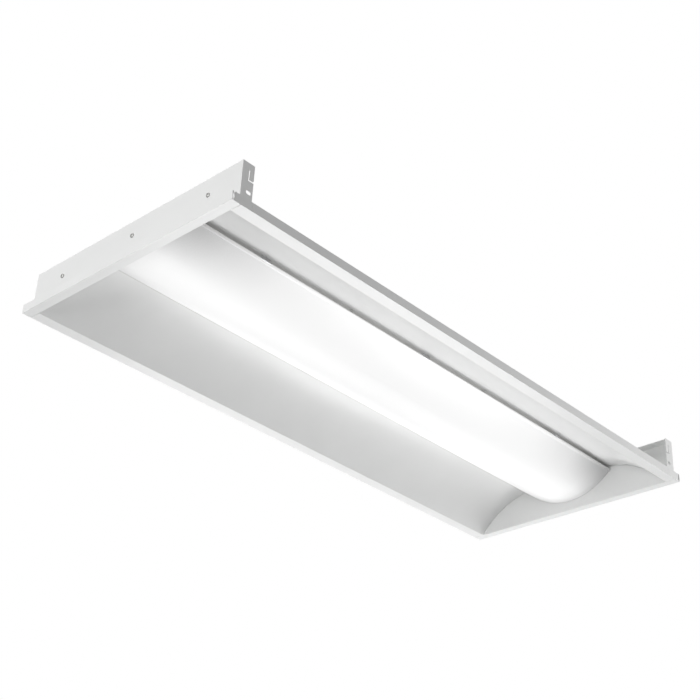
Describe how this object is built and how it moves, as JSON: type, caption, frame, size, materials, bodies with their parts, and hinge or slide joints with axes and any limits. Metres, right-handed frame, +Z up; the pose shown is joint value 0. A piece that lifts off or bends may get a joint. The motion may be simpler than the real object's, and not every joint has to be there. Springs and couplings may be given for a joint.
{
  "type": "recessed troffer light",
  "caption": "Shallow recessed ceiling light with two curved white wings, a long curved lens hinged on one edge, a gear tray inside and an access plate on top.",
  "frame": {"origin": "middle of the opening, in the plane of the trim's underside, which rests on the ceiling grid", "axes": "+X along the length, +Y across towards the lens's hinge, +Z up into the ceiling; the room is below"},
  "size_m": [1.213, 0.502, 0.0842],
  "materials": {
    "white_steel": "smooth white enamel, half gloss",
    "housing_steel": "white enamel",
    "tray_steel": "white reflective enamel",
    "lens_acrylic": "frosted white acrylic, lets light through",
    "rail_plastic": "white extruded plastic",
    "spring_steel": "bright spring steel",
    "board_white": "white solder mask",
    "emitter_amber": "amber phosphor",
    "connector_white": "off-white plastic",
    "driver_steel": "plain zinc-coated sheet",
    "wire_black": "black insulation",
    "wire_white": "white insulation",
    "wire_green": "green insulation",
    "wire_red": "red insulation",
    "wire_blue": "blue insulation",
    "splice_clear": "pale plastic",
    "grommet_rubber": "black rubber",
    "clip_nylon": "natural nylon",
    "zinc": "zinc plated",
    "ground_green": "green",
    "rivet_alu": "plain"
  },
  "bodies": {
    "housing": {"board_connectors": "connector_white", "board_jumpers": "wire_white", "board_screws": "zinc", "catch_rivets": "rivet_alu", "driver_case": "driver_steel", "driver_screws": "zinc", "driver_terminals": "connector_white", "end_plate_left": "white_steel", "end_plate_right": "white_steel", "end_plate_screws": "zinc", "gear_tray": "tray_steel", "ground_screw": "ground_green", "housing_rivets": "rivet_alu", "housing_top": "housing_steel", "lead_clips": "clip_nylon", "lead_ground": "wire_green", "lead_live": "wire_black", "lead_neutral": "wire_white", "led_board_left_back": "board_white", "led_board_left_front": "board_white", "led_board_right_back": "board_white", "led_board_right_front": "board_white", "led_emitters": "emitter_amber", "led_lead_back": "wire_blue", "led_lead_front": "wire_red", "lens_catches": "spring_steel", "lens_hinge_rail": "rail_plastic", "rail_rivets": "rivet_alu", "splice_connectors": "splice_clear", "tray_grommet": "grommet_rubber", "tray_screws": "zinc", "wing_reflector_back": "white_steel", "wing_reflector_front": "white_steel"},
    "lens": {"diffuser": "lens_acrylic"},
    "access": {"access_plate": "housing_steel", "knockout_slug": "housing_steel", "access_screw": "zinc"},
    "clip_left_front": {"grid_clip_left_front": "white_steel"},
    "clip_left_back": {"grid_clip_left_back": "white_steel"},
    "clip_right_front": {"grid_clip_right_front": "white_steel"},
    "clip_right_back": {"grid_clip_right_back": "white_steel"}
  },
  "joints": [
    {"name": "lens_swing", "type": "hinge", "parent": "housing", "child": "lens", "pos_m": [0, 0.1, 0.0621], "axis": [1, 0, 0], "range_deg": [0, 90]},
    {"name": "access_swing", "type": "hinge", "parent": "housing", "child": "access", "pos_m": [-0.4, -0.052, 0.082], "axis": [1, 0, 0], "range_deg": [0, 110]},
    {"name": "clip_left_front_bend", "type": "hinge", "parent": "housing", "child": "clip_left_front", "pos_m": [-0.5713, -0.2484, 0.07], "axis": [-1, 0, 0], "range_deg": [0, 90]},
    {"name": "clip_left_back_bend", "type": "hinge", "parent": "housing", "child": "clip_left_back", "pos_m": [-0.5713, 0.2484, 0.07], "axis": [1, 0, 0], "range_deg": [0, 90]},
    {"name": "clip_right_front_bend", "type": "hinge", "parent": "housing", "child": "clip_right_front", "pos_m": [0.5713, -0.2484, 0.07], "axis": [-1, 0, 0], "range_deg": [0, 90]},
    {"name": "clip_right_back_bend", "type": "hinge", "parent": "housing", "child": "clip_right_back", "pos_m": [0.5713, 0.2484, 0.07], "axis": [1, 0, 0], "range_deg": [0, 90]}
  ]
}
